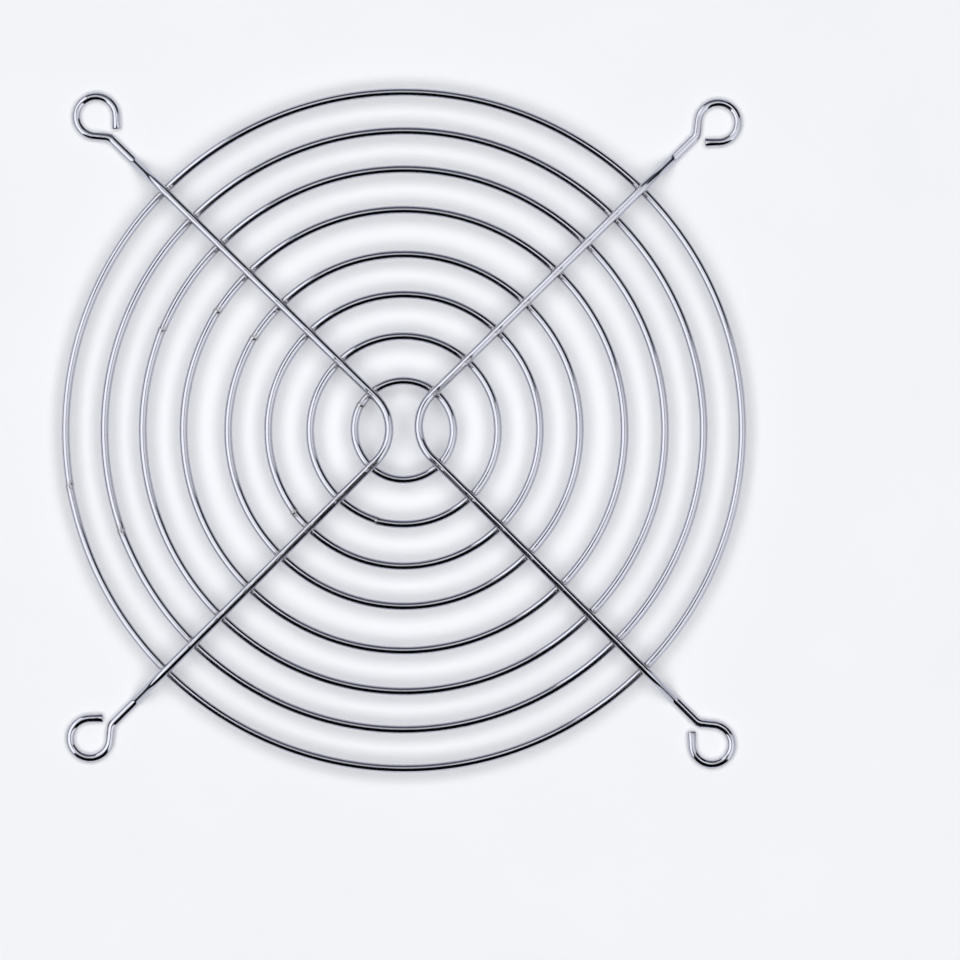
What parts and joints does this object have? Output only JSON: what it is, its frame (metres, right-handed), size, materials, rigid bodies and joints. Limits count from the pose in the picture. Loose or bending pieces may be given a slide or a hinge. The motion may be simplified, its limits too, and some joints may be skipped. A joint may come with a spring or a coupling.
{
  "type": "wire fan guard",
  "caption": "Round wire guard: concentric rings welded under bent spoke wires, whose hooked screw eyes stand it a few millimetres off the face of a fan or vent.",
  "frame": {"origin": "on the rings' common axis, in the mounting plane that the screw eyes rest on", "axes": "+Z out of the guard, away from the mounting plane; +X and +Y along the sides of the square of screw eyes"},
  "size_m": [0.1154, 0.1154, 0.006],
  "materials": {
    "spoke_wire": "bright nickel-chrome plate over drawn mild steel wire",
    "ring_wire": "bright nickel-chrome plate over drawn mild steel wire"
  },
  "bodies": {
    "root": {"left_spoke_wire": "spoke_wire", "right_spoke_wire": "spoke_wire", "ring_1": "ring_wire", "ring_2": "ring_wire", "ring_3": "ring_wire", "ring_4": "ring_wire", "ring_5": "ring_wire", "ring_6": "ring_wire", "ring_7": "ring_wire", "ring_8": "ring_wire"}
  },
  "joints": []
}
